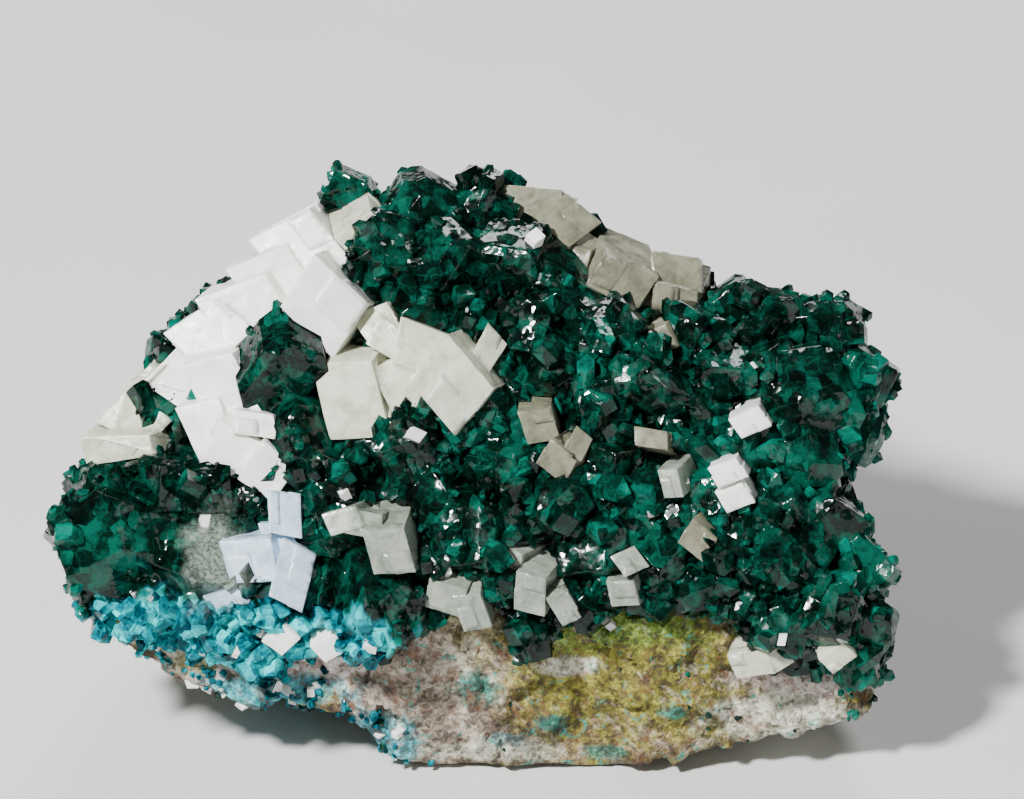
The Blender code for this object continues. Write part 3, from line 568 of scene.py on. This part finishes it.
def rough_rock():
    """The rock's solid remeshed finely and broken up, with its underside left flat."""
    mesh = bpy.data.meshes.new("rock")
    bm = merged("matrix_rock")
    bm.to_mesh(mesh)
    bm.free()
    fine = remeshed(mesh)
    points = vectors(fine.vertices, "co")
    normals = vectors(fine.vertices, "normal")
    for i in range(len(points)):
        place = Vector(points[i]) / MM
        if place.z < ROCK_FLAT:
            continue
        move = rock_relief(place) * min(1.0, (place.z - ROCK_FLAT) / ROCK_RISE)
        points[i] += normals[i] * move * MM
    points[:, 2] = np.maximum(points[:, 2], 0.0)
    fine.vertices.foreach_set("co", points.ravel())
    fine.update()
    fine.shade_smooth()
    return fine


# Small crystals

def convex(normals, offsets):
    """Corners and faces of the convex crystal inside all the planes."""
    trios = np.array(list(combinations(range(len(normals)), 3)))
    systems = normals[trios]
    regular = np.abs(np.linalg.det(systems)) > 1e-5
    corners = np.linalg.solve(systems[regular], offsets[trios[regular]][..., None])[..., 0]
    corners = corners[(corners @ normals.T <= offsets + 1e-6).all(1)]
    corners = np.unique(np.round(corners, 5), axis=0)
    faces = []
    for normal, offset in zip(normals, offsets):
        on = np.nonzero(np.abs(corners @ normal - offset) < 3e-4)[0]
        if len(on) < 3:
            continue
        side = np.cross(normal, (0.0, 0.0, 1.0) if abs(normal[2]) < 0.9 else (1.0, 0.0, 0.0))
        side /= np.linalg.norm(side)
        up = np.cross(normal, side)
        spoke = corners[on] - corners[on].mean(0)
        order = np.argsort(np.arctan2(spoke @ up, spoke @ side))
        faces.append([int(i) for i in on[order]])
    return corners, faces


def dioptase_form(rng):
    """One small dioptase crystal of unit radius: six prism faces under a three-faced cap."""
    planes = []
    for i in range(6):
        azimuth = math.radians(30 + 60 * i)
        planes.append(((math.cos(azimuth), math.sin(azimuth), 0.0), rng.uniform(0.8, 1.1)))
    length = rng.uniform(0.1, 0.8)
    out, along = math.sin(CAP_ANGLE), math.cos(CAP_ANGLE)
    for i in range(3):
        azimuth = math.radians(120 * i)
        planes.append(((out * math.cos(azimuth), out * math.sin(azimuth), along),
                       rng.uniform(0.75, 1.1) + length * along))
    planes.append(((0.0, 0.0, -1.0), 1.2))
    return convex(np.array([p[0] for p in planes]), np.array([p[1] for p in planes]))


def calcite_form(rng):
    """One small cleavage rhomb with unit half edges."""
    cosine = math.cos(RHOMB_ANGLE)
    sine = math.sin(RHOMB_ANGLE)
    third = (cosine, cosine * (1 - cosine) / sine)
    edges = np.array(((1, 0, 0), (cosine, sine, 0), (*third, math.sqrt(1 - third[0] ** 2 - third[1] ** 2))))
    normals, offsets = [], []
    for i in range(3):
        normal = np.cross(edges[(i + 1) % 3], edges[(i + 2) % 3])
        normal /= np.linalg.norm(normal)
        reach = abs(normal @ edges[i]) * rng.uniform(0.7, 1.2)
        normals += [normal, -normal]
        offsets += [reach, reach]
    return convex(np.array(normals), np.array(offsets))


def crystals(name, look, forms, places):
    """Joins one crystal per place (point in metres, axis, spin, radius in mm) into a piece."""
    verts, faces, start = [], [], 0
    for k, (point, axis, spin, radius) in enumerate(places):
        corners, sides = forms[k % len(forms)]
        turn = axis.to_track_quat("Z", "Y").to_matrix() @ Matrix.Rotation(spin, 3, "Z")
        verts.append(corners @ np.array(turn).T * (radius * MM) + np.array(point))
        faces += [[start + i for i in side] for side in sides]
        start += len(corners)
    mesh = bpy.data.meshes.new(name)
    mesh.from_pydata(np.concatenate(verts).tolist(), [], faces)
    mesh.update()
    add_object(name, mesh, look)


def sample(mesh, rng, count):
    """Random points spread evenly over a mesh, each with its normal."""
    mesh.calc_loop_triangles()
    corners = vectors(mesh.vertices, "co").astype(float)
    trios = np.empty(len(mesh.loop_triangles) * 3, np.int32)
    mesh.loop_triangles.foreach_get("vertices", trios)
    a, b, c = (corners[trios.reshape(-1, 3)[:, i]] for i in range(3))
    cross = np.cross(b - a, c - a)
    size = np.linalg.norm(cross, axis=1)
    chosen = rng.choice(len(size), count, p=size / size.sum())
    s, t = rng.random((2, count, 1))
    over = s + t > 1
    s, t = np.where(over, 1 - s, s), np.where(over, 1 - t, t)
    points = a[chosen] + (b[chosen] - a[chosen]) * s + (c[chosen] - a[chosen]) * t
    return zip(points, cross[chosen] / size[chosen][:, None])


def tree_of(meshes):
    verts, faces = [], []
    for mesh in meshes:
        start = len(verts)
        verts += [v.co for v in mesh.vertices]
        faces += [[start + i for i in p.vertices] for p in mesh.polygons]
    return BVHTree.FromPolygons(verts, faces)


def openness(point, normal, rng, reach=3.5, rays=10):
    """Share of the directions above a surface point in which nothing stands near."""
    start = Vector(point) + Vector(normal) * 0.05 * MM
    free = 0
    for _ in range(rays):
        way = Vector(rng.normal(size=3)).normalized()
        way = (way + Vector(normal)).normalized()
        free += everything.ray_cast(start, way, reach * MM)[0] is None
    return free / rays


def growing(point, normal, rng, radius, lean=0.6):
    """The place of a crystal that grows out of the surface at that point."""
    axis = (Vector(normal) + Vector(rng.normal(size=3)) * lean * 0.5).normalized()
    return Vector(point), axis, rng.uniform(0, math.tau), radius


def backed(point, axis, radius):
    """Whether the tip of such a crystal still has the specimen behind it, seen from the front."""
    tip = Vector(point) + axis * radius * 1.5 * MM
    return everything.ray_cast(tip + OUT * 4 * MM, -OUT, 40 * MM)[0] is not None


def bare(u, v):
    """Whether a face point is on one of the large crystals that stay bare."""
    return any(math.hypot((u - c[0]) / r[0], (v - c[1]) / r[1]) < 1 for c, r in BARE_PLACES)


def in_druse(u, v):
    """Whether a face point is in the strip of turquoise druse at the lower left."""
    return u < -7 and v < 15.6 - 0.35 * max(0.0, u + 17)


def from_rim(u, v):
    """Distance of a face point from the turquoise rim."""
    best = math.inf
    for (au, av), (bu, bv) in zip(RIM_LINE, RIM_LINE[1:]):
        du, dv = bu - au, bv - av
        t = min(1.0, max(0.0, ((u - au) * du + (v - av) * dv) / (du * du + dv * dv)))
        best = min(best, math.hypot(u - au - t * du, v - av - t * dv))
    return best


def pick(rng, turquoise, grain):
    """A kind of crystal: turquoise and then grain, each by its chance, or else teal."""
    if rng.random() < turquoise:
        return "turquoise"
    if rng.random() < grain:
        return "grain"
    return "teal"


def grow_on_crust(rng, places):
    """Crystals in the crust's hollows, a few large ones on its faces, and the turquoise druse."""
    for point, normal in sample(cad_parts["dioptase_crust"].data, rng, CRUST_SAMPLES):
        facing = normal @ np.array(OUT)
        u, v, _ = to_face(point)
        if facing < 0.1:
            if rng.random() < 0.5 and not bare(u, v) and openness(point, normal, rng, 2.0, 5) > 0.5:
                sunk = point - normal * 0.15 * MM
                places["teal"].append(growing(sunk, normal, rng, rng.uniform(0.25, 0.6), 1.0))
            continue
        if in_druse(u, v):
            roll = rng.random()
            kind = "turquoise" if roll < 0.60 else "teal" if roll < 0.95 else "grain"
            places[kind].append(growing(point, normal, rng, 0.25 + 0.9 * rng.random() ** 3))
            continue
        if bare(u, v):
            continue
        free = openness(point, normal, rng)
        radius = 0.3 + 0.9 * rng.random() ** 2.2
        if free < HOLLOW_BELOW:
            placed = growing(point, normal, rng, radius)
        elif rng.random() < 0.07 and facing > 0.3:
            radius = rng.uniform(0.7, 1.5)
            placed = growing(point - normal * 0.55 * MM, normal, rng, radius, 0.9)
        else:
            continue
        if backed(placed[0], placed[1], radius):
            places["emerald" if rng.random() < 0.65 else "teal"].append(placed)


def grow_on_rock(rng, rock, places):
    """The turquoise rim, loose crystals near it and at the right foot, and a few strays all round."""
    for point, normal in sample(rock, rng, ROCK_SAMPLES):
        if point[2] < 0.8 * MM:
            continue
        u, v, _ = to_face(point)
        facing = normal @ np.array(OUT)
        radius = rng.uniform(0.15, 0.38)
        if facing > -0.3 and from_rim(u, v) < RIM_REACH and rng.random() < 0.45:
            kind = pick(rng, turquoise=0.7, grain=0.6)
        elif facing > -0.2 and u < -14 and v < 16 and rng.random() < 0.22:
            kind = pick(rng, turquoise=0.5, grain=0.5)
            radius *= 1.4
        elif facing > -0.2 and u > 34 and v < 9 and rng.random() < 0.25:
            kind = "teal"
        elif rng.random() < 0.012:
            kind = "teal"
            radius *= 0.8
        else:
            continue
        places[kind].append(growing(point, normal, rng, radius))


def set_grains_and_glints(rng, places):
    """The bright grains that stand out in the face, some of them painted highlights set where glints of
    light show.
    """
    for u, v, radius in GRAIN_AND_GLINT_PLACES:
        hit, normal, _, _ = everything.ray_cast(to_world((u, v, 30.0)), -OUT)
        places["grain"].append(growing(hit, normal, rng, radius, 0.3))


rng = np.random.default_rng(SEED)
noise.seed_set(SEED)  # noise_vector's offsets come from this seed, or else from the clock

for node in sorted(CALCITE_LOOK):
    bm = solid_of(node)
    swell(bm, CALCITE_SWELL * MM)
    add_growth_plates(bm, rng)
    blunt_edges(bm, CALCITE_BEVEL)
    bmesh.ops.recalc_face_normals(bm, faces=bm.faces)
    roughen(bm, longest=0.8, height=0.045, size=1.3)
    add_object(node + "_look", mesh_of(bm, node), CALCITE_LOOK[node], (node,))

bm = solid_of("dioptase_crust")
blunt_edges(bm, CRUST_BEVEL)
roughen(bm, longest=0.95, height=0.05, size=1.2)
add_object("dioptase_crust_look", mesh_of(bm, "crust"), EMERALD, ("dioptase_crust",))

rock_mesh = rough_rock()
add_object("matrix_rock_look", rock_mesh, ROCK, ("matrix_rock",))

everything = tree_of([node.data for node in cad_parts.values()])
dioptase_forms = [dioptase_form(rng) for _ in range(DIOPTASE_FORMS)]
calcite_forms = [calcite_form(rng) for _ in range(CALCITE_FORMS)]
places = {kind: [] for kind in ("emerald", "teal", "turquoise", "grain")}
grow_on_crust(rng, places)
grow_on_rock(rng, rock_mesh, places)
set_grains_and_glints(rng, places)
# Painted highlights: some of these white grains stand where glints of light show
crystals("calcite_small_grains_and_glints", WHITE, calcite_forms, places["grain"])
crystals("dioptase_small_emerald", EMERALD, dioptase_forms, places["emerald"])
crystals("dioptase_small_teal", TEAL, dioptase_forms, places["teal"])
crystals("dioptase_small_turquoise", TURQUOISE, dioptase_forms, places["turquoise"])


# Stage

def light(name, place, size, power):
    data = bpy.data.lights.new(name, "AREA")
    data.shape = "DISK"
    data.size = size
    data.energy = power
    lamp = bpy.data.objects.new(name, data)
    bpy.context.scene.collection.objects.link(lamp)
    lamp.location = place
    lamp.rotation_euler = (Vector(LIGHTS_AIM) - Vector(place)).to_track_quat("-Z", "Y").to_euler()


def floor_material():
    g = Graph("studio_floor")
    tone = g.ramp(g.noise(60.0, detail=3.0), (0.3, (0.60, 0.60, 0.59)), (0.7, (0.64, 0.64, 0.63)))
    return g.finish(Base_Color=tone, Roughness=0.9)


bm = bmesh.new()
bmesh.ops.create_grid(bm, x_segments=1, y_segments=1, size=1.5)
floor_mesh = bpy.data.meshes.new("floor")
bm.to_mesh(floor_mesh)
bm.free()
floor_mesh.materials.append(floor_material())
floor = bpy.data.objects.new("studio_floor", floor_mesh)
bpy.context.scene.collection.objects.link(floor)

light("key", (-0.30, -0.34, 0.52), size=0.09, power=12.0)
light("fill", (0.55, -0.45, 0.25), size=0.45, power=1.0)
light("rim", (0.10, 0.45, 0.40), size=0.25, power=2.5)

world = bpy.data.worlds.new("studio")
world.use_nodes = True
world.node_tree.nodes["Background"].inputs["Color"].default_value = (0.9, 0.95, 1.0, 1.0)
world.node_tree.nodes["Background"].inputs["Strength"].default_value = 0.12
bpy.context.scene.world = world

camera_data = bpy.data.cameras.new("camera")
camera_data.lens = camera_data.sensor_width * VIEW_DISTANCE / (VIEW_WIDTH * MM)
camera_data.clip_start = 0.01
camera = bpy.data.objects.new("camera", camera_data)
bpy.context.scene.collection.objects.link(camera)
camera.location = to_world(VIEW_MIDDLE) + OUT * VIEW_DISTANCE
camera.rotation_euler = (math.pi / 2 - LEAN, 0.0, 0.0)
bpy.context.scene.camera = camera
